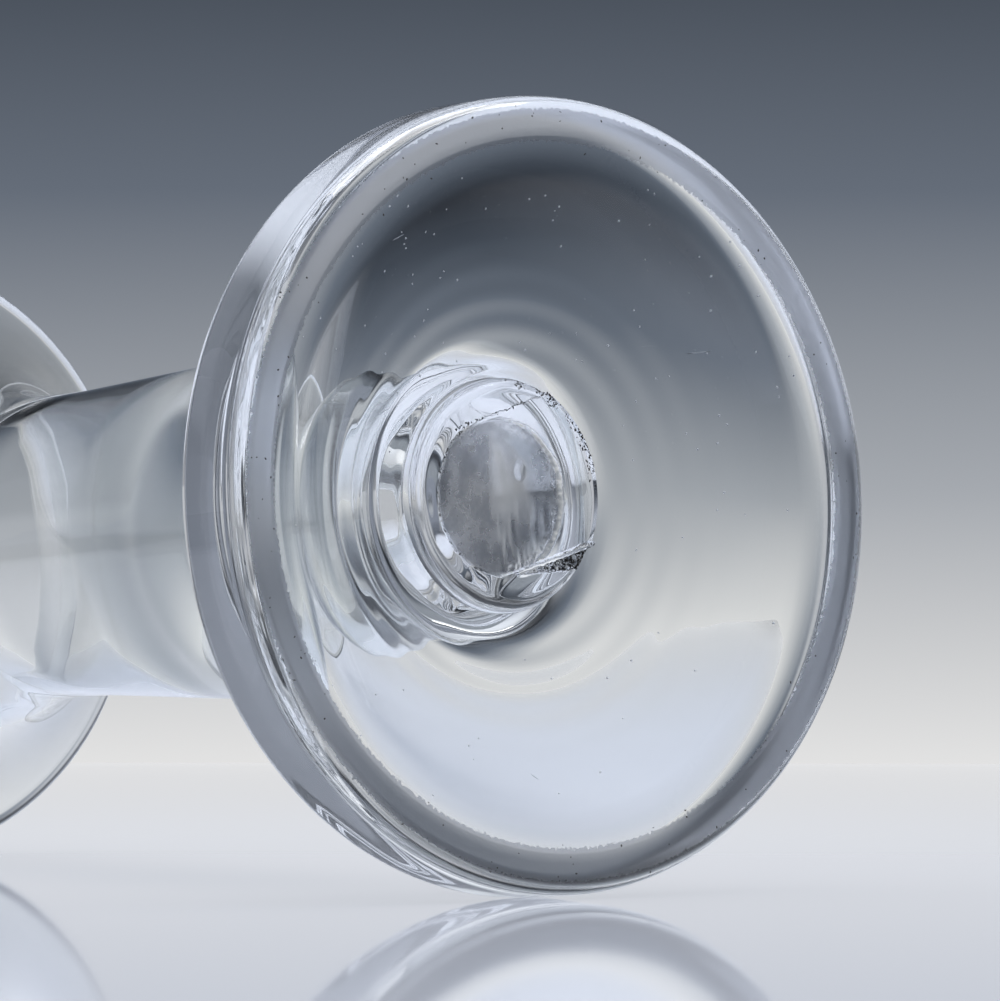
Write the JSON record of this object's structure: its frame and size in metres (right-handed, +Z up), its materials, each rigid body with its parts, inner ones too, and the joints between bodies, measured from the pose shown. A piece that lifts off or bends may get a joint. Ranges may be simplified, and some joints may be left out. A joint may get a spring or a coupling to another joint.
{
  "type": "firing glass",
  "caption": "Short clear drinking glass with a waisted, flared bowl on a short solid stem and a heavy disc foot, dished underneath with a snapped pontil mark, made to be banged down at toasts.",
  "frame": {"origin": "middle of the flat ring that the glass stands on", "axes": "+Z up the glass's axis, from the foot towards the rim"},
  "size_m": [0.066, 0.066, 0.1026],
  "materials": {
    "lead_glass": "fire-polished, worn at the standing ring",
    "pontil_glass": "broken, sharp and partly frosted, with dirt in the chips"
  },
  "bodies": {
    "root": {"foot": "lead_glass", "stem": "lead_glass", "bowl": "lead_glass", "pontil_mark": "pontil_glass"}
  },
  "joints": []
}
